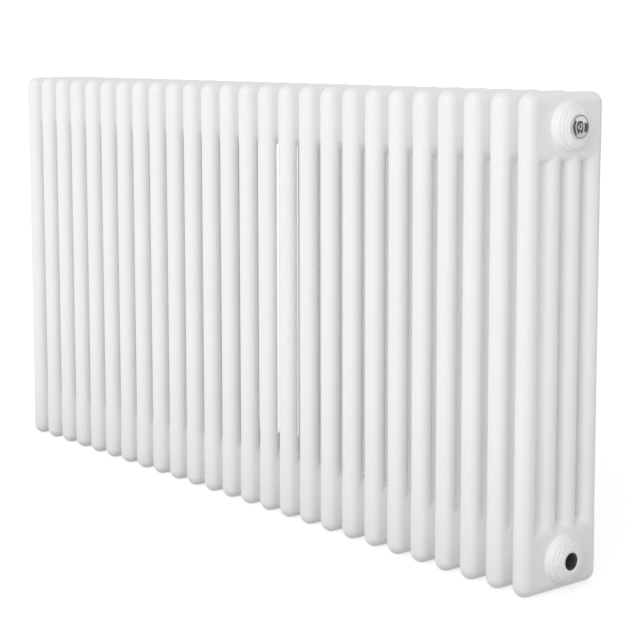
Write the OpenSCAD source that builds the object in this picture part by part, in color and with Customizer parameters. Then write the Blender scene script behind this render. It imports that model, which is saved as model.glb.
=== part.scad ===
// Multi-column tubular radiator: 26 four-column sections screwed together
// end to end through threaded hubs, with a reducing bush in each of the four
// end hubs, an air vent at the top right and a blanking plug at the top left.
// X runs along the row of sections, Y from the room towards the wall, Z up.
// The origin is the middle of the bottom of the bounding box.

/* [Section] */
// Overall height, bottom edge to top edge
height = 600; // [400:10:1000]
// Distance from one section to the next
section_pitch = 45; // [44:0.5:50]
// Distance between the columns of one section, front to back
column_pitch = 35; // [34:0.5:40]
// Outside diameter of the column tubes
tube_d = 25; // [24:0.25:25.5]
// Wall of the column tubes
tube_wall = 1.25; // [1.2:0.05:2]

/* [Heads] */
// Thickness of the pressed heads along the row
head_t = 26; // [25.5:0.25:29]
// Height of a head from its outer edge to the crotch between two tubes
head_h = 82; // [78:1:90]
// Sheet thickness of the heads
head_wall = 1.5; // [1.5:0.1:2.5]
// Corner radius of a head, seen from the end of the radiator
corner_r = 15; // [15:0.5:24]
// Distance from the hub centre to the nearest outer edge
hub_inset = 40; // [38:0.5:42]

/* [Hubs and joints] */
// Major diameter of the hub thread, G 1 1/4
hub_thread_d = 41.91; // [41.7:0.01:42.1]
// Outside diameter of the hub boss at its rim
boss_d = 54; // [53:0.25:56]
// Thickness of the gasket between two hub bosses
gasket_t = 1; // [0.8:0.1:1.4]
// Half length of a joining nipple
nipple_half = 13; // [11:0.5:14]

/* [Bushes and plugs] */
// Major diameter of the port thread, G 1/2
port_thread_d = 20.955; // [20.9:0.005:21]
// Flange diameter of a bush
flange_d = 49; // [48.5:0.5:53]
// Width across the flats of a bush
hex_af = 40; // [36:0.5:42]
// Diameter of the vent cap and of the plug cap
cap_d = 28.5; // [28:0.5:31]
// Width across the flats of the square key end of the bleed screw
key_af = 5; // [4.5:0.1:5.5]

/* [Hidden] */
$fn = 72;
sections = 26;
gap = 0.05;                       // joint line left between welded pieces
hub_r = hub_thread_d / 2;
port_r = port_thread_d / 2;
ht = head_t / 2;                  // half thickness of a head
yc = 1.5 * column_pitch;          // y of the outer columns
core_r = corner_r - ht;           // corner radius of the flat of a head
zr = head_h - ht;                 // where the crotch rounding starts
collar_end = head_h + 10;         // free end of the tube collars
socket_bottom = head_h + 4;       // shoulder that the tubes stand on
hub_bore_r = boss_d / 2 - 2;      // hole in a head for the hub spigot
rim = section_pitch / 2 - gasket_t / 2;   // hub face, from the section's middle
seal_t = 0.8;
flange_x = rim + seal_t;          // back of the bush flange
hex_x = flange_x + 2.8;           // start of the bush hexagon
face_x = hex_x + 2.9;             // outer face of a bush
cap_x = face_x + 0.2;             // underside of a cap
hex_r = hex_af / 2 / cos(30);     // corner radius of the hexagon
ring_r = hex_af / 2 - 3.7;        // radius of the round face of a bush
dish_r = cap_d / 2 - 1.8;         // mouth of the dish in the vent cap
cap_t = 3;                        // thickness of a cap
end_x = (sections - 1) / 2 * section_pitch;   // middle of the last section
paint = [0.95, 0.95, 0.94];
chrome = [0.78, 0.79, 0.81];
iron = [0.32, 0.32, 0.33];
seal_grey = [0.16, 0.16, 0.17];

function section_x(i) = (i - (sections + 1) / 2) * section_pitch;
function joint_x(j) = (j - sections / 2) * section_pitch;

// Half cylinder of radius r and length l: its flat side faces -Y, +Z is its axis
module half_round(r, l) {
    rotate_extrude(angle = 180) square([r, l]);
}

// A quarter of a ball of radius r, above z = 0 and behind y = 0
module quarter_ball(r) {
    rotate_extrude(angle = 180)
        intersection() {
            circle(r);
            square([r, r]);
        }
}

// Corner of a head: a quarter turn of a slab with a full-round rim
module slab_corner(r) {
    rotate_extrude(angle = 90)
        union() {
            translate([0, -r]) square([core_r, 2 * r]);
            translate([core_r, 0])
                intersection() {
                    circle(r);
                    translate([0, -r]) square([r, 2 * r]);
                }
        }
}

// Full-round slab with half thickness r: the outside of a head when r = ht,
// its water space when r is one sheet less. Outer edge down, crotch side up.
module rounded_slab(r) {
    zc = corner_r;
    yk = yc - core_r;
    union() {
        // middle, with the rounded front and back edges
        translate([-r, -yc, zc]) cube([2 * r, 2 * yc, zr - zc]);
        translate([0, yc, zc]) half_round(r, zr - zc);
        translate([0, -yc, zc]) rotate([0, 0, 180]) half_round(r, zr - zc);
        // outer edge
        translate([-r, -yk, ht]) cube([2 * r, 2 * yk, zc - ht]);
        translate([0, -yk, ht]) rotate([-90, 0, 0]) half_round(r, 2 * yk);
        // corners
        translate([0, yk, zc]) rotate([0, 90, 0]) slab_corner(r);
        translate([0, -yk, zc]) rotate([0, 90, 0]) rotate([0, 0, -90]) slab_corner(r);
        // crotch side
        translate([0, -yc, zr]) rotate([-90, 0, 0]) rotate([0, 0, 180]) half_round(r, 2 * yc);
        translate([0, yc, zr]) quarter_ball(r);
        translate([0, -yc, zr]) rotate([0, 0, 180]) quarter_ball(r);
    }
}

// Pressed head with four tube collars, a hub hole in each face and a water space
module head() {
    difference() {
        union() {
            rounded_slab(ht);
            for (k = [0:3])
                translate([0, (k - 1.5) * column_pitch, zr - 4])
                    cylinder(h = collar_end - zr + 4, r1 = ht - 0.2, r2 = tube_d / 2 + 0.8);
        }
        rounded_slab(ht - head_wall);
        for (k = [0:3])
            translate([0, (k - 1.5) * column_pitch, 0]) {
                translate([0, 0, zr - 2]) cylinder(h = socket_bottom - zr + 3, r = tube_d / 2 - tube_wall);
                translate([0, 0, socket_bottom]) cylinder(h = collar_end - socket_bottom + 1, r = tube_d / 2 + gap);
            }
        translate([-ht - 1, 0, hub_inset]) rotate([0, 90, 0])
            cylinder(h = head_t + 2, r = hub_bore_r + gap);
    }
}

// One column tube between its two heads
module column_tube() {
    z0 = socket_bottom + gap;
    translate([0, 0, z0])
        difference() {
            cylinder(h = height - 2 * z0, r = tube_d / 2);
            translate([0, 0, -1]) cylinder(h = height - 2 * z0 + 2, r = tube_d / 2 - tube_wall);
        }
}

// Threaded hub boss with a conical side, welded into a head face; +Z is outwards, z = 0 the section's middle
module hub_boss() {
    b = boss_d / 2;
    base = ht + gap;
    rotate_extrude()
        difference() {
            union() {
                translate([0, 8]) square([hub_bore_r, base - 8]);
                polygon([[0, base], [b + 2.7, base], [b + 2.7, base + 0.6], [b, rim], [0, rim]]);
            }
            translate([0, 7]) square([hub_r, 30]);
            polygon([[b - 0.8, rim + 0.1], [b - 0.8, rim], [b, rim - 0.8], [b + 1, rim - 0.8], [b + 1, rim + 0.1]]);
        }
}

// One welded section: two heads, four tubes and four hub bosses
module section(i) {
    color(paint)
        translate([section_x(i), 0, 0]) {
            head();
            translate([0, 0, height]) mirror([0, 0, 1]) head();
            for (k = [0:3]) translate([0, (k - 1.5) * column_pitch, 0]) column_tube();
            for (z = [hub_inset, height - hub_inset])
                translate([0, 0, z]) {
                    rotate([0, 90, 0]) hub_boss();
                    rotate([0, -90, 0]) hub_boss();
                }
        }
}

// Joining nipple with two inner lugs for the assembly key
module nipple() {
    rotate([0, 90, 0]) {
        difference() {
            translate([0, 0, -nipple_half]) cylinder(h = 2 * nipple_half, r = hub_r - gap);
            translate([0, 0, -nipple_half - 1]) cylinder(h = 2 * nipple_half + 2, r = 17.5);
        }
        for (a = [0, 180]) rotate([0, 0, a])
            translate([14.8, -2, -nipple_half + 2]) cube([3.2, 4, 2 * nipple_half - 4]);
    }
}

module nipple_row(z) {
    color(iron)
        for (j = [1:sections - 1]) translate([joint_x(j), 0, z]) nipple();
}

module nipples_top() { nipple_row(height - hub_inset); }

module nipples_bottom() { nipple_row(hub_inset); }

// Flat ring seal, from r1 to r2, t thick, starting at z = 0
module ring(r1, r2, t) {
    difference() {
        cylinder(h = t, r = r2);
        translate([0, 0, -1]) cylinder(h = t + 2, r = r1);
    }
}

module gasket_row(z) {
    color(seal_grey)
        for (j = [1:sections - 1])
            translate([joint_x(j) - gasket_t / 2, 0, z]) rotate([0, 90, 0])
                ring(hub_r + 0.3, boss_d / 2 - 1.2, gasket_t);
}

module joint_gaskets_top() { gasket_row(height - hub_inset); }

module joint_gaskets_bottom() { gasket_row(hub_inset); }

// Moves a piece drawn along +Z, z = 0 at the middle of the end section, to a
// port: side 1 is the right-hand end and -1 the left-hand end
module at_port(side, z) {
    translate([side * end_x, 0, z]) rotate([0, side * 90, 0]) children();
}

// Reducing bush, G 1 1/4 outside and G 1/2 inside: flange, and a hexagon that
// slopes up to a raised round face
module bush() {
    difference() {
        union() {
            translate([0, 0, 8.5]) cylinder(h = flange_x - 8.5 + 0.5, r = hub_r - gap);
            translate([0, 0, flange_x]) cylinder(h = hex_x - flange_x - 0.6, r = flange_d / 2);
            translate([0, 0, hex_x - 0.6]) cylinder(h = 0.6, r1 = flange_d / 2, r2 = flange_d / 2 - 0.6);
            intersection() {
                translate([0, 0, hex_x - 1]) rotate([0, 0, 90]) cylinder(h = face_x - hex_x + 1, r = hex_r, $fn = 6);
                rotate_extrude()
                    polygon([[0, hex_x - 2], [hex_r + 1, hex_x - 2], [hex_r + 1, face_x - 2.35], [hex_r, face_x - 2.35], [ring_r, face_x - 0.45], [ring_r, face_x], [0, face_x]]);
            }
        }
        translate([0, 0, 7]) cylinder(h = 40, r = port_r);
        translate([0, 0, face_x - 1]) cylinder(h = 2, r1 = port_r, r2 = port_r + 2);
    }
}

module bush_top_right() { color(paint) at_port(1, height - hub_inset) bush(); }

module bush_top_left() { color(paint) at_port(-1, height - hub_inset) bush(); }

module bush_bottom_right() { color(paint) at_port(1, hub_inset) bush(); }

module bush_bottom_left() { color(paint) at_port(-1, hub_inset) bush(); }

// Flat seal under a bush flange
module bush_seal() {
    translate([0, 0, rim]) ring(hub_r + 0.3, flange_d / 2 - 0.4, seal_t);
}

module seal_top_right() { color(seal_grey) at_port(1, height - hub_inset) bush_seal(); }

module seal_top_left() { color(seal_grey) at_port(-1, height - hub_inset) bush_seal(); }

module seal_bottom_right() { color(seal_grey) at_port(1, hub_inset) bush_seal(); }

module seal_bottom_left() { color(seal_grey) at_port(-1, hub_inset) bush_seal(); }

// Outside of a G 1/2 plug: shank, seal groove and round cap
module plug_blank() {
    union() {
        translate([0, 0, 14]) cylinder(h = cap_x - 14 + 1.3, r = port_r - gap);
        difference() {
            union() {
                translate([0, 0, cap_x]) cylinder(h = cap_t - 0.6, r = cap_d / 2);
                translate([0, 0, cap_x + cap_t - 0.6]) cylinder(h = 0.6, r1 = cap_d / 2, r2 = cap_d / 2 - 0.6);
            }
            translate([0, 0, cap_x - 1]) ring(port_r - gap - 2, 13.6, 2.2);
        }
    }
}

// Chromed vent body: conical dish with a well round the key end, screw bore
// with a conical seat, air outlet
module air_vent_body() {
    color(chrome) at_port(1, height - hub_inset)
        difference() {
            plug_blank();
            rotate_extrude()
                polygon([[0, cap_x + cap_t + 1], [0, cap_x + cap_t - 1.5], [5.4, cap_x + cap_t - 1.5], [dish_r, cap_x + cap_t], [dish_r, cap_x + cap_t + 1]]);
            translate([0, 0, cap_x + 0.6]) cylinder(h = 4, r = 4.1);
            translate([0, 0, 19]) cylinder(h = 20, r = 3.1);
            translate([0, 0, 17.4]) cylinder(h = 1.6, r1 = 1.5, r2 = 3.1);
            translate([0, 0, 13]) cylinder(h = 5, r = 1.5);
            translate([7.2, 0, 20.5]) cylinder(h = 15, r = 1);
            translate([0, 0, 21.5]) rotate([0, 90, 0]) cylinder(h = 7.2, r = 0.9);
        }
}

// Round sealing ring under a cap
module cap_o_ring() {
    rotate_extrude() translate([12.55, face_x + 0.68]) circle(0.66);
}

module vent_o_ring() { color(seal_grey) at_port(1, height - hub_inset) cap_o_ring(); }

// Bleed screw: conical tip, seal groove, square key end
module bleed_screw() {
    color(chrome) at_port(1, height - hub_inset)
        union() {
            translate([0, 0, 17.42]) cylinder(h = 1.5, r1 = 1.5, r2 = 3);
            translate([0, 0, 18.92]) cylinder(h = 6.08, r = 3);
            translate([0, 0, 25]) cylinder(h = 1.6, r = 1.9);
            translate([0, 0, 26.6]) cylinder(h = cap_x + 0.8 - 26.6, r = 3);
            translate([-key_af / 2, -key_af / 2, cap_x + 0.8]) cube([key_af, key_af, 1.9]);
        }
}

module bleed_seal() {
    color(seal_grey) at_port(1, height - hub_inset)
        rotate_extrude() translate([2.48, 25.8]) circle(0.55);
}

// Chromed blanking plug with a hexagon socket
module blanking_plug() {
    color(chrome) at_port(-1, height - hub_inset)
        difference() {
            plug_blank();
            translate([0, 0, cap_x + cap_t - 7]) cylinder(h = 10, r = 6 / cos(30), $fn = 6);
            translate([0, 0, 13]) cylinder(h = 8, r = 7.5);
        }
}

module plug_o_ring() { color(seal_grey) at_port(-1, height - hub_inset) cap_o_ring(); }

section(1);  // section_01
section(2);  // section_02
section(3);  // section_03
section(4);  // section_04
section(5);  // section_05
section(6);  // section_06
section(7);  // section_07
section(8);  // section_08
section(9);  // section_09
section(10);  // section_10
section(11);  // section_11
section(12);  // section_12
section(13);  // section_13
section(14);  // section_14
section(15);  // section_15
section(16);  // section_16
section(17);  // section_17
section(18);  // section_18
section(19);  // section_19
section(20);  // section_20
section(21);  // section_21
section(22);  // section_22
section(23);  // section_23
section(24);  // section_24
section(25);  // section_25
section(26);  // section_26
nipples_top();
nipples_bottom();
joint_gaskets_top();
joint_gaskets_bottom();
bush_top_right();
bush_top_left();
bush_bottom_right();
bush_bottom_left();
seal_top_right();
seal_top_left();
seal_bottom_right();
seal_bottom_left();
air_vent_body();
vent_o_ring();
bleed_screw();
bleed_seal();
blanking_plug();
plug_o_ring();
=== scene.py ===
"""Column radiator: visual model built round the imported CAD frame."""
import math

import bpy
import numpy as np
from mathutils import Matrix, Vector


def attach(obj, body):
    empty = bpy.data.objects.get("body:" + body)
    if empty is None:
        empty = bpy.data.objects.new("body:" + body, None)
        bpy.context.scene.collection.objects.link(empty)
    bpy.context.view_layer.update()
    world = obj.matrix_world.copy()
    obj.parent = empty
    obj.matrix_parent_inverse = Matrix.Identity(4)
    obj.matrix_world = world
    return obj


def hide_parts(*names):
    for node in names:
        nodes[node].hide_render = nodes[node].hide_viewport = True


MM = 0.001

# ---------------------------------------------------------------- dimensions
# The same numbers as the CAD model, in millimetres.
SECTIONS = 26
PITCH = 45.0
HEIGHT = 600.0
COLUMN = 35.0
TUBE_R = 12.5
HALF_T = 13.0
HUB_Z = 40.0
RIM = 22.0
HUB_R = 20.955
PORT_R = 10.4775
FLANGE_X = 22.8
HEX_X = 25.6
FACE_X = 28.5
CAP_X = 28.7
CAP_T = 3.0
CAP_R = 14.25
FLANGE_R = 24.5
HEX_AF = 40.0
FACE_R = 16.3
END_X = (SECTIONS - 1) / 2 * PITCH
YC = 1.5 * COLUMN

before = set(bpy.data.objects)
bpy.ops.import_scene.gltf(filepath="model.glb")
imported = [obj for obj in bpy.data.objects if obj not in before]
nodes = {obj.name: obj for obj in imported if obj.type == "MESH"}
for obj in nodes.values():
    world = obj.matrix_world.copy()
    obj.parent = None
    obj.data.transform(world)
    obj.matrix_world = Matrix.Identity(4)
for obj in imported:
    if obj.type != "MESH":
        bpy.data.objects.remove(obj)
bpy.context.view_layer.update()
scene = bpy.context.scene
collection = scene.collection


# ------------------------------------------------------------------- helpers
def new_mesh(name, verts, faces, normals=None, sharp_angle=None):
    """A mesh from vertices in millimetres; smooth shaded."""
    me = bpy.data.meshes.new(name)
    me.from_pydata([tuple(v) for v in np.asarray(verts, float) * MM], [], [tuple(int(i) for i in f) for f in faces])
    me.update()
    me.shade_smooth()
    if sharp_angle is not None:
        me.set_sharp_from_angle(angle=math.radians(sharp_angle))
    if normals is not None:
        me.normals_split_custom_set_from_vertices([tuple(n) for n in normals])
    return me


def add(name, me, body, material, location=(0, 0, 0), rotation=None):
    ob = bpy.data.objects.new(name, me)
    collection.objects.link(ob)
    m = Matrix.Translation(Vector(location) * MM)
    if rotation is not None:
        m = m @ rotation
    ob.matrix_world = m
    if not me.materials:
        me.materials.append(material)
    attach(ob, body)
    return ob


def smooth(t):
    t = np.clip(t, 0.0, 1.0)
    return t * t * (3 - 2 * t)


def smin(a, b, k):
    h = np.maximum(k - np.abs(a - b), 0) / k
    return np.minimum(a, b) - h * h * k * 0.25


# ------------------------------------------------- one welded section, shape
def head_field(x, y, z):
    """Distance-like field of a lower head with its tube roots, millimetres, section's middle at x = 0.

    In the y-z plane the core is a rectangle with four lines standing on it; the skin is one
    thickness away from it, so the rim is fully round and the head runs into its tubes.
    """
    ay = np.abs(y)
    zc, hz, rc = (HALF_T + 69.2) / 2, (69.2 - HALF_T) / 2, 1.6
    qy = ay - YC + rc
    qz = np.abs(z - zc) - hz + rc
    d_rect = np.hypot(np.maximum(qy, 0), np.maximum(qz, 0)) + np.minimum(np.maximum(qy, qz), 0) - rc
    dz = np.maximum(60 - z, 0)
    d_line = None
    for k in range(4):
        d = np.hypot(y - (k - 1.5) * COLUMN, dz)
        d_line = d if d_line is None else np.minimum(d_line, d)
    k0 = np.maximum(4.5 * (1 - smooth((ay - 44) / 8.5)), 0.01)
    d2 = smin(d_rect, d_line, k0)
    t = TUBE_R + (HALF_T - TUBE_R) * (1 - smooth((z - 62) / 30))
    f = np.hypot(np.maximum(d2, 0), x) - t
    # hole for the hub boss
    return np.maximum(f, 25.02 - np.hypot(y, z - HUB_Z))


def axis_grid(lo, hi, base, fine=()):
    """Grid coordinates with spacing base, or finer inside the given (lo, hi, step) spans."""
    out = [lo]
    while out[-1] < hi - 1e-6:
        c = out[-1]
        step = base
        for a, b, s in fine:
            if a - 1e-6 <= c < b:
                step = min(step, s)
        out.append(c + step)
    return np.array(out)


def surface_net(field, gx, gy, gz):
    """Quads of the zero surface, each vertex at the mean of its cell's edge crossings. Returns vertices and faces."""
    X, Y, Z = np.meshgrid(gx, gy, gz, indexing="ij")
    F = field(X, Y, Z)
    S = F < 0
    nx, ny, nz = len(gx) - 1, len(gy) - 1, len(gz) - 1
    acc = np.zeros((nx, ny, nz, 3))
    cnt = np.zeros((nx, ny, nz))
    P = np.stack([X, Y, Z], -1)
    for ax in range(3):
        a = [slice(None)] * 3
        b = [slice(None)] * 3
        a[ax] = slice(0, -1)
        b[ax] = slice(1, None)
        a, b = tuple(a), tuple(b)
        cross = S[a] != S[b]
        t = np.where(cross, F[a] / np.where(cross, F[a] - F[b], 1), 0)
        pt = P[a] + (P[b] - P[a]) * t[..., None]
        o1, o2 = [i for i in range(3) if i != ax]
        for i in (0, 1):
            for j in (0, 1):
                s = [slice(None)] * 3
                n = (nx, ny, nz)
                s[o1] = slice(i, i + n[o1])
                s[o2] = slice(j, j + n[o2])
                s = tuple(s)
                c = cross[s]
                acc += np.where(c[..., None], pt[s], 0)
                cnt += c
    used = cnt > 0
    idx = -np.ones((nx, ny, nz), int)
    idx[used] = np.arange(used.sum())
    V = acc[used] / cnt[used][:, None]
    faces = []
    for ax in range(3):
        a = [slice(None)] * 3
        b = [slice(None)] * 3
        a[ax] = slice(0, -1)
        b[ax] = slice(1, None)
        o1, o2 = [(1, 2), (2, 0), (0, 1)][ax]
        a[o1] = b[o1] = slice(1, -1)
        a[o2] = b[o2] = slice(1, -1)
        sa, sb = S[tuple(a)], S[tuple(b)]
        c = np.argwhere(sa != sb)
        flip = sa[sa != sb]
        # back to grid indices
        c[:, o1] += 1
        c[:, o2] += 1

        def cell(d1, d2):
            q = c.copy()
            q[:, o1] += d1
            q[:, o2] += d2
            return idx[q[:, 0], q[:, 1], q[:, 2]]

        quad = np.stack([cell(-1, -1), cell(0, -1), cell(0, 0), cell(-1, 0)], 1)
        quad[~flip] = quad[~flip][:, ::-1]
        faces.append(quad)
    faces = np.concatenate(faces)
    return V, faces


def gradient(field, V, e=0.05):
    g = np.zeros_like(V)
    for i in range(3):
        d = np.zeros(3)
        d[i] = e
        p, m = V + d, V - d
        g[:, i] = (field(p[:, 0], p[:, 1], p[:, 2]) - field(m[:, 0], m[:, 1], m[:, 2])) / (2 * e)
    return g


def project(field, V, steps=6, limit=0.6):
    for _ in range(steps):
        g = gradient(field, V)
        f = field(V[:, 0], V[:, 1], V[:, 2])
        s = -f[:, None] * g / np.maximum((g * g).sum(1), 0.2)[:, None]
        n = np.linalg.norm(s, axis=1)
        s *= np.minimum(1, limit / np.maximum(n, 1e-9))[:, None]
        V = V + s
    return V


def section_mesh():
    """Both heads with their four tubes as one closed quad surface."""
    top = 112.0
    gx = axis_grid(-16.0, 16.0, 1.6, [(-14.4, -11.2, 0.8), (11.2, 14.4, 0.8)])
    gy = axis_grid(-69.0, 69.0, 1.6)
    gz = axis_grid(-2.4, top + 1.6, 1.6)
    V, faces = surface_net(head_field, gx, gy, gz)
    V = project(head_field, V)
    N = gradient(head_field, V)
    N /= np.linalg.norm(N, axis=1)[:, None]
    # the open rim of the tube roots
    edges = np.concatenate([faces[:, [0, 1]], faces[:, [1, 2]], faces[:, [2, 3]], faces[:, [3, 0]]])
    key = np.sort(edges, 1)
    _, inv, count = np.unique(key, axis=0, return_inverse=True, return_counts=True)
    open_edges = edges[count[inv.ravel()] == 1]
    rim = np.unique(open_edges)
    z_rim = float(V[rim, 2].max())
    V[rim, 2] = z_rim
    V = project_tube(V, rim)
    N[rim] = tube_normal(V[rim])
    n = len(V)
    up = V.copy()
    up[:, 2] = HEIGHT - up[:, 2]
    upN = N.copy()
    upN[:, 2] *= -1
    rings = 7
    levels = np.linspace(z_rim, HEIGHT - z_rim, rings + 2)[1:-1]
    pos = {int(v): i for i, v in enumerate(rim)}
    mids = []
    midN = []
    for z in levels:
        p = V[rim].copy()
        p[:, 2] = z
        mids.append(p)
        midN.append(tube_normal(p))
    allV = np.concatenate([V, up] + mids)
    allN = np.concatenate([N, upN] + midN)
    quads = [faces, faces[:, ::-1] + n]
    oe = open_edges
    ia = np.array([pos[int(v)] for v in oe[:, 0]])
    ib = np.array([pos[int(v)] for v in oe[:, 1]])
    m = len(rim)
    layers = [(oe[:, 0], oe[:, 1])]
    for k in range(rings):
        layers.append((2 * n + k * m + ia, 2 * n + k * m + ib))
    layers.append((oe[:, 0] + n, oe[:, 1] + n))
    for (a0, b0), (a1, b1) in zip(layers[:-1], layers[1:]):
        quads.append(np.stack([b0, a0, a1, b1], 1))
    return allV, np.concatenate(quads), allN


def project_tube(V, rim):
    k = np.clip(np.round(V[rim, 1] / COLUMN + 1.5), 0, 3)
    yk = (k - 1.5) * COLUMN
    dx, dy = V[rim, 0], V[rim, 1] - yk
    r = np.hypot(dx, dy)
    V[rim, 0] = dx / r * TUBE_R
    V[rim, 1] = yk + dy / r * TUBE_R
    return V


def tube_normal(p):
    k = np.clip(np.round(p[:, 1] / COLUMN + 1.5), 0, 3)
    yk = (k - 1.5) * COLUMN
    n = np.stack([p[:, 0], p[:, 1] - yk, np.zeros(len(p))], 1)
    return n / np.linalg.norm(n, axis=1)[:, None]


# --------------------------------------------------------------- lathed parts
def lathe(rings, seg=96, loop=True):
    """Revolves (radius, height) rings about +Z. Either number may be a function of the angle.

    A radius of 0 is a pole. With loop the last ring joins the first, and a closed ring results.
    """
    th = np.arange(seg) * 2 * math.pi / seg
    V, rows, n = [], [], 0
    for r, h in rings:
        if not callable(r) and r == 0:
            V.append(np.array([[0.0, 0.0, h]]))
            rows.append(("pole", n))
            n += 1
            continue
        rr = r(th) if callable(r) else np.full(seg, float(r))
        hh = h(th) if callable(h) else np.full(seg, float(h))
        V.append(np.stack([rr * np.cos(th), rr * np.sin(th), hh], 1))
        rows.append(("ring", n))
        n += seg
    F = []
    pairs = [(i, i + 1) for i in range(len(rows) - 1)] + ([(len(rows) - 1, 0)] if loop else [])
    for i, j in pairs:
        (ka, a), (kb, b) = rows[i], rows[j]
        for s in range(seg):
            t = (s + 1) % seg
            if ka == "pole":
                F.append((a, b + t, b + s))
            elif kb == "pole":
                F.append((a + s, a + t, b))
            else:
                F.append((a + s, a + t, b + t, b + s))
    return np.concatenate(V), F


def hexagon(af, limit=1e9, turn=30.0, grow=0.0):
    """Radius of a hexagon round the turn, its corners cut off at a radius of limit."""

    def radius(th):
        a = np.mod(np.degrees(th) - turn, 60.0) - 30.0
        return np.minimum(af / 2 / np.cos(np.radians(a)), limit) + grow

    return radius


def arc(cr, ch, r, a0, a1, n):
    """Points on a circle about (cr, ch), angles in degrees from the +radius axis."""
    a = np.radians(np.linspace(a0, a1, n))
    return [(cr + r * math.cos(t), ch + r * math.sin(t)) for t in a]


def turned(V):
    """Local +Z to +X, the row's axis."""
    V = np.asarray(V)
    return np.stack([V[:, 2], V[:, 1], -V[:, 0]], 1)


def merge(parts):
    Vs, Fs, off = [], [], 0
    for V, F in parts:
        V = np.asarray(V)
        Vs.append(V)
        Fs += [tuple(i + off for i in f) for f in F]
        off += len(V)
    return np.concatenate(Vs), Fs


# ------------------------------------------------------------------ materials
def material(name):
    m = bpy.data.materials.new(name)
    m.use_nodes = True
    nt = m.node_tree
    nt.nodes.clear()
    out = nt.nodes.new("ShaderNodeOutputMaterial")
    bsdf = nt.nodes.new("ShaderNodeBsdfPrincipled")
    nt.links.new(bsdf.outputs[0], out.inputs[0])
    return m, nt, bsdf


def noise(nt, scale, detail=2.0, rough=0.5, coords="Object"):
    tc = nt.nodes.new("ShaderNodeTexCoord")
    n = nt.nodes.new("ShaderNodeTexNoise")
    n.inputs["Scale"].default_value = scale
    n.inputs["Detail"].default_value = detail
    n.inputs["Roughness"].default_value = rough
    nt.links.new(tc.outputs[coords], n.inputs["Vector"])
    return n


def map_range(nt, src, a, b, c, d):
    m = nt.nodes.new("ShaderNodeMapRange")
    m.inputs["From Min"].default_value = a
    m.inputs["From Max"].default_value = b
    m.inputs["To Min"].default_value = c
    m.inputs["To Max"].default_value = d
    nt.links.new(src, m.inputs["Value"])
    return m.outputs["Result"]


def mix_color(nt, fac, a, b):
    m = nt.nodes.new("ShaderNodeMix")
    m.data_type = "RGBA"
    m.inputs["A"].default_value = (*a, 1)
    m.inputs["B"].default_value = (*b, 1)
    nt.links.new(fac, m.inputs["Factor"])
    return m.outputs["Result"]


def powder_coat(name, low, high):
    m, nt, b = material(name)
    tone = noise(nt, 9.0, 3)
    col = mix_color(nt, map_range(nt, tone.outputs["Fac"], 0.3, 0.7, 0, 1), low, high)
    nt.links.new(col, b.inputs["Base Color"])
    rough = noise(nt, 60.0, 3)
    nt.links.new(map_range(nt, rough.outputs["Fac"], 0.3, 0.7, 0.30, 0.40), b.inputs["Roughness"])
    peel = noise(nt, 520.0, 2)
    bump = nt.nodes.new("ShaderNodeBump")
    bump.inputs["Strength"].default_value = 0.18
    bump.inputs["Distance"].default_value = 0.0001
    nt.links.new(peel.outputs["Fac"], bump.inputs["Height"])
    nt.links.new(bump.outputs[0], b.inputs["Normal"])
    b.inputs["Coat Weight"].default_value = 0.15
    b.inputs["Coat Roughness"].default_value = 0.25
    return m


def chrome():
    m, nt, b = material("bright_chrome")
    b.inputs["Metallic"].default_value = 1.0
    tone = noise(nt, 300.0, 2)
    nt.links.new(mix_color(nt, tone.outputs["Fac"], (0.52, 0.53, 0.55), (0.58, 0.588, 0.605)), b.inputs["Base Color"])
    micro = noise(nt, 900.0, 3)
    nt.links.new(map_range(nt, micro.outputs["Fac"], 0.3, 0.7, 0.05, 0.11), b.inputs["Roughness"])
    bump = nt.nodes.new("ShaderNodeBump")
    bump.inputs["Strength"].default_value = 0.05
    bump.inputs["Distance"].default_value = 0.00005
    nt.links.new(micro.outputs["Fac"], bump.inputs["Height"])
    nt.links.new(bump.outputs[0], b.inputs["Normal"])
    return m


def iron():
    m, nt, b = material("turned_iron")
    b.inputs["Metallic"].default_value = 0.9
    tone = noise(nt, 220.0, 4)
    nt.links.new(mix_color(nt, tone.outputs["Fac"], (0.10, 0.10, 0.105), (0.22, 0.215, 0.21)), b.inputs["Base Color"])
    nt.links.new(map_range(nt, tone.outputs["Fac"], 0.3, 0.7, 0.35, 0.6), b.inputs["Roughness"])
    return m


def elastic(name, a, bcol, rough):
    m, nt, b = material(name)
    tone = noise(nt, 400.0, 3)
    nt.links.new(mix_color(nt, tone.outputs["Fac"], a, bcol), b.inputs["Base Color"])
    nt.links.new(map_range(nt, tone.outputs["Fac"], 0.3, 0.7, rough - 0.08, rough + 0.08), b.inputs["Roughness"])
    bump = nt.nodes.new("ShaderNodeBump")
    bump.inputs["Strength"].default_value = 0.2
    bump.inputs["Distance"].default_value = 0.0001
    nt.links.new(tone.outputs["Fac"], bump.inputs["Height"])
    nt.links.new(bump.outputs[0], b.inputs["Normal"])
    return m


def bare_metal_with_bore_shade():
    """Cut threads and the inside of the waterway: bare, unpainted metal, coloured near-black as painted shade of the
    deep, unlit bore.
    """
    m, nt, b = material("bare_metal_and_painted_bore_shade")
    b.inputs["Metallic"].default_value = 0.7
    tone = noise(nt, 350.0, 4)
    nt.links.new(mix_color(nt, tone.outputs["Fac"], (0.018, 0.018, 0.019), (0.055, 0.052, 0.050)), b.inputs["Base Color"])
    nt.links.new(map_range(nt, tone.outputs["Fac"], 0.3, 0.7, 0.38, 0.6), b.inputs["Roughness"])
    return m


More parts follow.
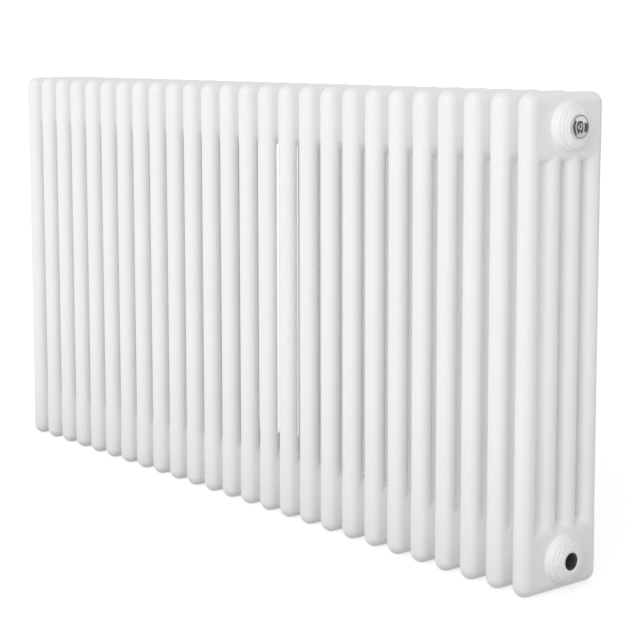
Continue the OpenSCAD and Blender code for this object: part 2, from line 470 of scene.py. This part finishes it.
PAINT = powder_coat("white_powder_coat", (0.905, 0.905, 0.90), (0.925, 0.925, 0.92))
# a lighter copy of the white paint for the hub bosses and the bushes: painted light, to lift them where the heads shade
# them
LIGHTENED_PAINT = powder_coat("white_paint_lightened", (0.95, 0.95, 0.948), (0.965, 0.965, 0.962))
CHROME = chrome()
IRON = iron()
DARK_METAL_AND_SHADE = bare_metal_with_bore_shade()
FIBRE = elastic("pale_fibre", (0.62, 0.62, 0.60), (0.72, 0.72, 0.70), 0.7)
SEAL = elastic("white_fibre", (0.80, 0.80, 0.785), (0.87, 0.87, 0.855), 0.7)
RUBBER = elastic("black_rubber", (0.02, 0.02, 0.02), (0.035, 0.035, 0.035), 0.55)

# ------------------------------------------------------------------- sections
def inner_material(me, inside, paint=None):
    """Gives the faces whose middle is inside (a test on x, y, z in millimetres) the near-black bare metal, painted
    shade for the bore; the rest get the paint.
    """
    me.materials.append(paint or PAINT)
    me.materials.append(DARK_METAL_AND_SHADE)
    for p in me.polygons:
        c = p.center / MM
        if inside(c.x, c.y, c.z):
            p.material_index = 1


V, F, N = section_mesh()
head_me = new_mesh("section_shell", V, F, normals=N)
# the walls of the hub hole get the near-black metal: bare metal and painted shade of the bore
inner_material(head_me, lambda x, y, z: abs(x) < HALF_T - 0.1 and min(math.hypot(y, z - HUB_Z), math.hypot(y, z - HEIGHT + HUB_Z)) < 25.4)

# hub boss, local +Z outwards from the section's middle: conical side, small weld
# fillet where it meets the head, rounded rim
boss_profile = (
    [(HUB_R, 8.6), (HUB_R + 0.6, 8.0), (24.98, 8.0), (24.98, HALF_T - 1.1), (31.0, HALF_T - 1.1), (31.0, HALF_T - 0.2)]
    + [(30.6, HALF_T + 0.02), (30.1, HALF_T + 0.25), (29.75, HALF_T + 0.7), (29.55, HALF_T + 1.3)]
    + [(28.4, 18.0), (27.45, 20.7)]
    + arc(26.1, 21.0, 1.0, 20, 90, 6)
    + [(24.0, RIM), (HUB_R + 0.8, RIM), (HUB_R, RIM - 0.8)]
)
bv, bf = lathe(boss_profile, 96)
boss_right = turned(bv)
boss_left = boss_right * np.array([-1.0, -1.0, 1.0])
parts = []
for z in (HUB_Z, HEIGHT - HUB_Z):
    for bvv in (boss_right, boss_left):
        parts.append((bvv + np.array([0, 0, z]), bf))
bvs, bfs = merge(parts)
boss_me = new_mesh("hub_bosses", bvs, bfs, sharp_angle=32)
# bosses: the lighter copy of the white paint outside is painted light; the near-black metal in the bore is painted
# shade
inner_material(boss_me, lambda x, y, z: abs(x) < 21.9 and min(math.hypot(y, z - HUB_Z), math.hypot(y, z - HEIGHT + HUB_Z)) < 21.9, LIGHTENED_PAINT)

for i in range(1, SECTIONS + 1):
    x = (i - (SECTIONS + 1) / 2) * PITCH
    shell = add(f"section_{i:02d}_shell", head_me, "radiator", PAINT, (x, 0, 0))
    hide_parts(f"section_{i:02d}")
    add(f"section_{i:02d}_hubs", boss_me, "radiator", PAINT, (x, 0, 0))

# ---------------------------------------------------------- bushes and plugs
def port(side, z):
    """Moves a piece drawn along +Z to a port: side 1 is the right-hand end, -1 the left."""
    m = Matrix(((0, 0, 1, 0), (0, 1, 0, 0), (-1, 0, 0, 0), (0, 0, 0, 1)))
    if side < 0:
        m = Matrix.Rotation(math.pi, 4, "Z") @ m
    return Matrix.Translation(Vector((side * END_X, 0, z)) * MM) @ m


def add_at(name, me, matrix, body, slot, *replaced):
    ob = add(name, me, body, me.materials[0])
    ob.matrix_world = matrix
    if replaced:
        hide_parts(*replaced)
    return ob


def bevel_edge(af, corner, h_flat):
    """Height at which the end cone of the hexagon meets its sides."""
    r = hexagon(af, corner)
    return lambda th: FACE_X - 0.55 - (r(th) - FACE_R) * 0.21 + h_flat


corner = 22.95
bush_rings = (
    [(PORT_R + 0.45, 9.0), (PORT_R + 0.95, 8.5), (HUB_R - 1.4, 8.5), (HUB_R - 0.05, 9.9), (HUB_R - 0.05, FLANGE_X)]
    + [(FLANGE_R - 0.6, FLANGE_X), (FLANGE_R - 0.18, FLANGE_X + 0.18), (FLANGE_R, FLANGE_X + 0.6)]
    + [(FLANGE_R, HEX_X - 0.7), (FLANGE_R - 0.12, HEX_X - 0.35), (FLANGE_R - 0.35, HEX_X - 0.12), (FLANGE_R - 0.7, HEX_X)]
    + [(hexagon(HEX_AF, corner, grow=0.38), HEX_X), (hexagon(HEX_AF, corner, grow=0.1), HEX_X + 0.1), (hexagon(HEX_AF, corner), HEX_X + 0.38)]
    + [(hexagon(HEX_AF, corner), bevel_edge(HEX_AF, corner, -0.28)), (hexagon(HEX_AF, corner, grow=-0.07), bevel_edge(HEX_AF, corner, -0.1))]
    + [(hexagon(HEX_AF, corner, grow=-0.3), bevel_edge(HEX_AF, corner, 0.06))]
    + [(FACE_R + 1.0, FACE_X - 0.76), (FACE_R + 0.3, FACE_X - 0.60), (FACE_R + 0.08, FACE_X - 0.48), (FACE_R, FACE_X - 0.30)]
    + [(FACE_R - 0.12, FACE_X - 0.1), (FACE_R - 0.4, FACE_X), (PORT_R + 1.2, FACE_X)]
    + [(PORT_R + 0.85, FACE_X - 0.1), (PORT_R + 0.5, FACE_X - 0.45), (PORT_R + 0.45, FACE_X - 1.0)]
)
v, f = lathe(bush_rings, 192)
bush_me = new_mesh("reducing_bush", v, f, sharp_angle=28)
# bushes: the lighter copy of the white paint outside is painted light; the near-black metal in the bore is painted
# shade
inner_material(bush_me, lambda x, y, z: math.hypot(x, y) < PORT_R + 0.7 and z < FACE_X - 0.3, LIGHTENED_PAINT)

# G 1/2 female thread, 14 threads to the inch, as a lining of the bush
THREAD = 25.4 / 14
seg, per = 96, 10
h0, h1 = 8.8, FACE_X - 0.5
rows = int(round((h1 - h0) / THREAD * per))
th = np.arange(seg) * 2 * math.pi / seg


def thread_radius(h):
    phase = np.mod(h / THREAD - th / (2 * math.pi), 1.0)
    wave = np.abs(phase - 0.5) * 2
    depth = smooth((wave - 0.12) / 0.76) * 1.162
    depth = depth * smooth((h1 - h) / 1.3) * smooth((h - h0) / 1.3)
    return PORT_R - depth


lining = []
for i in range(rows + 1):
    h = h1 - (h1 - h0) * i / rows
    r = thread_radius(h)
    lining.append(np.stack([r * np.cos(th), r * np.sin(th), np.full(seg, h)], 1))
for h in (h0, h1):
    lining.append(np.stack([(PORT_R + 0.6) * np.cos(th), (PORT_R + 0.6) * np.sin(th), np.full(seg, h)], 1))
tv = np.concatenate(lining)
tf = []
n_rows = len(lining)
for i in range(n_rows):
    j = (i + 1) % n_rows
    for k in range(seg):
        q = (k + 1) % seg
        tf.append((i * seg + k, i * seg + q, j * seg + q, j * seg + k))
thread_me = new_mesh("port_thread", tv, tf, sharp_angle=50)
# the thread lining is near-black: bare metal and painted shade of the bore
thread_me.materials.append(DARK_METAL_AND_SHADE)

for name, side, z in (("bottom_right", 1, HUB_Z), ("bottom_left", -1, HUB_Z), ("top_right", 1, HEIGHT - HUB_Z), ("top_left", -1, HEIGHT - HUB_Z)):
    add_at(f"bush_{name}_body", bush_me, port(side, z), "radiator", "paint", f"bush_{name}")
    if name.startswith("bottom"):
        add_at(f"bush_{name}_thread", thread_me, port(side, z), "radiator", "iron")

# vent cap: bevelled rim, conical dish, well round the key end, bore and seat,
# and the small air outlet below the screw
def drill(me, x, r, z0, z1, seg=32):
    """The mesh with a round hole of radius r cut at x from z1 down to z0."""
    th = np.arange(seg) * 2 * math.pi / seg
    ring_pts = np.stack([x + r * np.cos(th), r * np.sin(th)], 1)
    cv = [(a, b, z) for z in (z0, z1) for a, b in ring_pts]
    cf = [tuple(range(seg - 1, -1, -1)), tuple(range(seg, 2 * seg))]
    cf += [(k, (k + 1) % seg, seg + (k + 1) % seg, seg + k) for k in range(seg)]
    tool_me = new_mesh("drill", cv, cf, sharp_angle=35)
    ob, tool = bpy.data.objects.new("drilled", me), bpy.data.objects.new("drill", tool_me)
    for o in (ob, tool):
        collection.objects.link(o)
    mod = ob.modifiers.new("hole", "BOOLEAN")
    mod.operation, mod.object, mod.solver = "DIFFERENCE", tool, "EXACT"
    bpy.context.view_layer.update()
    cut = bpy.data.meshes.new_from_object(ob.evaluated_get(bpy.context.evaluated_depsgraph_get()))
    for o in (ob, tool):
        bpy.data.objects.remove(o, do_unlink=True)
    bpy.data.meshes.remove(tool_me)
    cut.name = "vent_body_drilled"
    return cut


c1 = CAP_X + CAP_T
shank = [(PORT_R - 0.05, CAP_X + 1.2), (PORT_R - 0.05, 14.9), (PORT_R - 0.95, 14.0)]
cap_side = (
    [(13.6, CAP_X + 1.2), (13.6, CAP_X + 0.1), (13.7, CAP_X), (CAP_R - 0.25, CAP_X), (CAP_R - 0.07, CAP_X + 0.08), (CAP_R, CAP_X + 0.3)]
    + [(CAP_R, c1 - 0.75)] + arc(CAP_R - 0.7, c1 - 0.7, 0.7, 10, 90, 9)
)
vent_rings = (
    [(1.5, 14.2), (1.7, 14.0)] + shank[::-1] + cap_side
    + [(CAP_R - 1.45, c1 - 0.01), (CAP_R - 1.7, c1 - 0.05), (CAP_R - 1.95, c1 - 0.11)]
    + [(5.3 + (CAP_R - 7.25) * u, c1 - 0.11 - 1.39 * (1 - u ** 1.6)) for u in (0.9, 0.8, 0.7, 0.6, 0.5, 0.4, 0.3, 0.2, 0.1)]
    + [(5.3, c1 - 1.5), (4.3, c1 - 1.5), (4.1, c1 - 1.7), (4.1, CAP_X + 0.75), (3.95, CAP_X + 0.6)]
    + [(3.3, CAP_X + 0.6), (3.1, CAP_X + 0.4), (3.1, 19.0), (1.5, 17.4)]
)
v, f = lathe(vent_rings, 128)
vent_me = drill(new_mesh("vent_body", v, f, sharp_angle=35), 7.2, 1.0, 20.5, 36.0)
vent_me.materials.append(CHROME)
vent_ob = add_at("air_vent_cap", vent_me, port(1, HEIGHT - HUB_Z), "radiator", "chrome", "air_vent_body")

# bleed screw: conical tip, seal groove, square key end with softened edges
stem = [(0, 17.42), (1.5, 17.42), (3.0, 18.92), (3.0, 24.9), (2.9, 25.0), (1.9, 25.0), (1.9, 26.6), (2.9, 26.6), (3.0, 26.7)]
stem += [(3.0, CAP_X + 0.6), (2.8, CAP_X + 0.8), (0, CAP_X + 0.8)]
sv, sf = lathe(stem, 64, loop=False)
key = []
ka = 2.5
for inset, h in ((0.0, CAP_X + 0.7), (0.0, CAP_X + 2.4), (0.12, CAP_X + 2.6), (0.4, CAP_X + 2.7)):
    a = ka - inset
    c = 0.28
    key.append([(a, -a + c), (a, a - c), (a - c, a), (-a + c, a), (-a, a - c), (-a, -a + c), (-a + c, -a), (a - c, -a)])
kv = [(x, y, h) for ring_pts, h in zip(key, (CAP_X + 0.7, CAP_X + 2.4, CAP_X + 2.6, CAP_X + 2.7)) for x, y in ring_pts]
kf = [tuple(range(7, -1, -1)), tuple(range(24, 32))]
for i in range(3):
    for k in range(8):
        q = (k + 1) % 8
        kf.append((i * 8 + k, i * 8 + q, i * 8 + 8 + q, i * 8 + 8 + k))
mv, mf = merge([(sv, sf), (np.array(kv), kf)])
screw_me = new_mesh("bleed_spindle_mesh", mv, mf, sharp_angle=30)
screw_me.materials.append(CHROME)
add_at("bleed_screw_spindle", screw_me, port(1, HEIGHT - HUB_Z), "bleed_spindle", "chrome", "bleed_screw")

# blanking plug: same cap with a flat face and a hexagon socket
plug_rings = (
    [(0, 20.9), (7.4, 20.9), (7.5, 20.8), (7.5, 14.2), (7.7, 14.0)] + shank[::-1] + cap_side
    + [(8.2, c1), (hexagon(12.0, 6.85, grow=0.35), c1), (hexagon(12.0, 6.85, grow=0.08), c1 - 0.12), (hexagon(12.0, 6.85), c1 - 0.45)]
    + [(hexagon(12.0, 6.85), c1 - 6.9), (5.6, c1 - 7.0), (0, c1 - 7.0)]
)
v, f = lathe(plug_rings, 192, loop=False)
plug_me = new_mesh("blanking_plug_mesh", v, f, sharp_angle=30)
plug_me.materials.append(CHROME)
add_at("blanking_plug_cap", plug_me, port(-1, HEIGHT - HUB_Z), "radiator", "chrome", "blanking_plug")

# ------------------------------------------------------- carried-over nodes
for n, mat in (
    ("nipples_top", DARK_METAL_AND_SHADE), ("nipples_bottom", DARK_METAL_AND_SHADE),
    ("joint_gaskets_top", FIBRE), ("joint_gaskets_bottom", FIBRE),
    ("seal_top_right", SEAL), ("seal_top_left", SEAL), ("seal_bottom_right", SEAL), ("seal_bottom_left", SEAL),
    ("vent_o_ring", RUBBER), ("plug_o_ring", RUBBER), ("bleed_seal", RUBBER),
):
    o = nodes[n]
    if not o.material_slots:
        o.data.materials.append(mat)
    for s in o.material_slots:
        s.material = mat

# --------------------------------------------------------------------- camera
AZ, EL, ROLL, FPX, CX, CY = 50.628, 6.772, 0.079, 1699.25, 320.0, 243.0
CAM = Vector((1926.7, -1484.9, 659.06))
az, el, roll = (math.radians(v) for v in (AZ, EL, ROLL))
fwd = Vector((-math.sin(az) * math.cos(el), math.cos(az) * math.cos(el), -math.sin(el)))
right = Vector((math.cos(az), math.sin(az), 0))
down = fwd.cross(right)
r2 = math.cos(roll) * right + math.sin(roll) * down
d2 = -math.sin(roll) * right + math.cos(roll) * down
cam = bpy.data.objects.new("camera", bpy.data.cameras.new("camera"))
collection.objects.link(cam)
rot = Matrix((r2, -d2, -fwd)).transposed()
cam.matrix_world = Matrix.Translation(CAM * MM) @ rot.to_4x4()
cam.data.sensor_width = 36.0
cam.data.lens = FPX / 640 * 36
cam.data.shift_x = (320 - CX) / 640
cam.data.shift_y = (CY - 320) / 640
cam.data.clip_start, cam.data.clip_end = 0.05, 1000
scene.camera = cam

# ------------------------------------------------------------ floor and light
fm, fnt, fb = material("studio_floor")
fn = noise(fnt, 0.8, 2)
fnt.links.new(mix_color(fnt, fn.outputs["Fac"], (0.80, 0.80, 0.80), (0.82, 0.82, 0.82)), fb.inputs["Base Color"])
fb.inputs["Roughness"].default_value = 0.9
fb.inputs["Specular IOR Level"].default_value = 0.1
fb.inputs["Emission Color"].default_value = (1, 1, 1, 1)
fb.inputs["Emission Strength"].default_value = 0.52
fme = bpy.data.meshes.new("floor")
s = 300.0
fme.from_pydata([(-s, -s, 0), (s, -s, 0), (s, s, 0), (-s, s, 0)], [], [(0, 1, 2, 3)])
floor = bpy.data.objects.new("floor", fme)
collection.objects.link(floor)
fme.materials.append(fm)
floor.visible_diffuse = False

# a grey card under the object takes the place of the floor in the light that
# comes up from below, so that the undersides and the foot stay a little darker
card_me = bpy.data.meshes.new("card")
x0, x1, y0, y1 = -END_X * MM - 0.22, END_X * MM + 0.36, -YC * MM - 0.17, YC * MM + 0.36
card_me.from_pydata([(x0, y0, -0.002), (x1, y0, -0.002), (x1, y1, -0.002), (x0, y1, -0.002)], [], [(0, 1, 2, 3)])
card = bpy.data.objects.new("card", card_me)
collection.objects.link(card)
km, knt, kb = material("grey_card")
kn = noise(knt, 10.0, 2)
kb.inputs["Base Color"].default_value = (0, 0, 0, 1)
kb.inputs["Specular IOR Level"].default_value = 0
knt.links.new(mix_color(knt, kn.outputs["Fac"], (0.20, 0.20, 0.20), (0.24, 0.24, 0.24)), kb.inputs["Emission Color"])
kb.inputs["Emission Strength"].default_value = 1.0
card_me.materials.append(km)
card.visible_camera = False
card.visible_glossy = False
card.visible_shadow = False

# three dark flags to the right of the row, for the chrome to reflect; out of the camera's sight
flag_me = bpy.data.meshes.new("flag")
fv, ff = [], []
for a0, a1 in ((-20, 30), (37, 57), (64, 95)):
    steps = 8
    b = len(fv)
    for i in range(steps + 1):
        a = math.radians(a0 + (a1 - a0) * i / steps)
        x, y = END_X * MM + 2.5 * math.cos(a), 2.5 * math.sin(a)
        fv += [(x, y, 0.0), (x, y, 1.05)]
    for i in range(steps):
        ff.append((b + 2 * i, b + 2 * i + 2, b + 2 * i + 3, b + 2 * i + 1))
flag_me.from_pydata(fv, [], ff)
flag = bpy.data.objects.new("flag", flag_me)
collection.objects.link(flag)
gm, gnt, gb = material("flag_cloth")
gn = noise(gnt, 20.0, 2)
gnt.links.new(mix_color(gnt, gn.outputs["Fac"], (0.09, 0.09, 0.09), (0.12, 0.12, 0.12)), gb.inputs["Base Color"])
gb.inputs["Roughness"].default_value = 1.0
flag_me.materials.append(gm)
flag.visible_camera = False
flag.visible_diffuse = False
flag.visible_shadow = False

# A white room: even light from all round, a little less from the right-hand
# side behind the row. The background itself is plain white.
world = bpy.data.worlds.new("world")
scene.world = world
world.use_nodes = True
wt = world.node_tree
wt.nodes.clear()
wout = wt.nodes.new("ShaderNodeOutputWorld")
wtc = wt.nodes.new("ShaderNodeTexCoord")
wdot = wt.nodes.new("ShaderNodeVectorMath")
wdot.operation = "DOT_PRODUCT"
wdot.inputs[1].default_value = Vector((0.62, 0.78, -0.05)).normalized()
wt.links.new(wtc.outputs["Generated"], wdot.inputs[0])
wmap = wt.nodes.new("ShaderNodeMapRange")
wmap.interpolation_type = "SMOOTHSTEP"
wmap.inputs["From Min"].default_value = 0.15
wmap.inputs["From Max"].default_value = 0.95
wmap.inputs["To Min"].default_value = 0.92
wmap.inputs["To Max"].default_value = 0.49
wt.links.new(wdot.outputs["Value"], wmap.inputs["Value"])
wsep = wt.nodes.new("ShaderNodeSeparateXYZ")
wt.links.new(wtc.outputs["Generated"], wsep.inputs[0])
wlow = wt.nodes.new("ShaderNodeMapRange")
wlow.inputs["From Min"].default_value = -0.02
wlow.inputs["From Max"].default_value = 0.02
wlow.inputs["To Min"].default_value = 0.75
wlow.inputs["To Max"].default_value = 1.0
wt.links.new(wsep.outputs["Z"], wlow.inputs["Value"])
wmul = wt.nodes.new("ShaderNodeMath")
wmul.operation = "MULTIPLY"
wt.links.new(wmap.outputs["Result"], wmul.inputs[0])
wt.links.new(wlow.outputs["Result"], wmul.inputs[1])
# less from straight above than from the walls
wtop = wt.nodes.new("ShaderNodeMapRange")
wtop.interpolation_type = "SMOOTHSTEP"
wtop.inputs["From Min"].default_value = 0.10
wtop.inputs["From Max"].default_value = 0.95
wtop.inputs["To Min"].default_value = 1.10
wtop.inputs["To Max"].default_value = 0.55
wt.links.new(wsep.outputs["Z"], wtop.inputs["Value"])
wall = wt.nodes.new("ShaderNodeMath")
wall.operation = "MULTIPLY"
wt.links.new(wmul.outputs[0], wall.inputs[0])
wt.links.new(wtop.outputs["Result"], wall.inputs[1])


def background(strength):
    b = wt.nodes.new("ShaderNodeBackground")
    b.inputs["Color"].default_value = (1, 1, 1, 1)
    if isinstance(strength, float):
        b.inputs["Strength"].default_value = strength
    else:
        wt.links.new(strength, b.inputs["Strength"])
    return b.outputs[0]


def choose(fac, a, b):
    m = wt.nodes.new("ShaderNodeMixShader")
    wt.links.new(fac, m.inputs[0])
    wt.links.new(a, m.inputs[1])
    wt.links.new(b, m.inputs[2])
    return m.outputs[0]


wlp = wt.nodes.new("ShaderNodeLightPath")
lit = choose(wlp.outputs["Is Glossy Ray"], background(wall.outputs[0]), background(0.80))
wt.links.new(choose(wlp.outputs["Is Camera Ray"], lit, background(1.05)), wout.inputs[0])

# the soft key, from in front and above
sun = bpy.data.lights.new("key", "SUN")
sun.energy = 0.235 * math.pi
sun.angle = math.radians(40)
key = bpy.data.objects.new("key", sun)
collection.objects.link(key)
key.rotation_mode = "QUATERNION"
key.rotation_quaternion = (-Vector((0.42, -0.80, 0.52))).to_track_quat("-Z", "Y")
scene.view_settings.view_transform = "Standard"
scene.view_settings.gamma = 1.25
# white paint in narrow gaps needs many bounces
scene.cycles.max_bounces = 24
scene.cycles.diffuse_bounces = 20
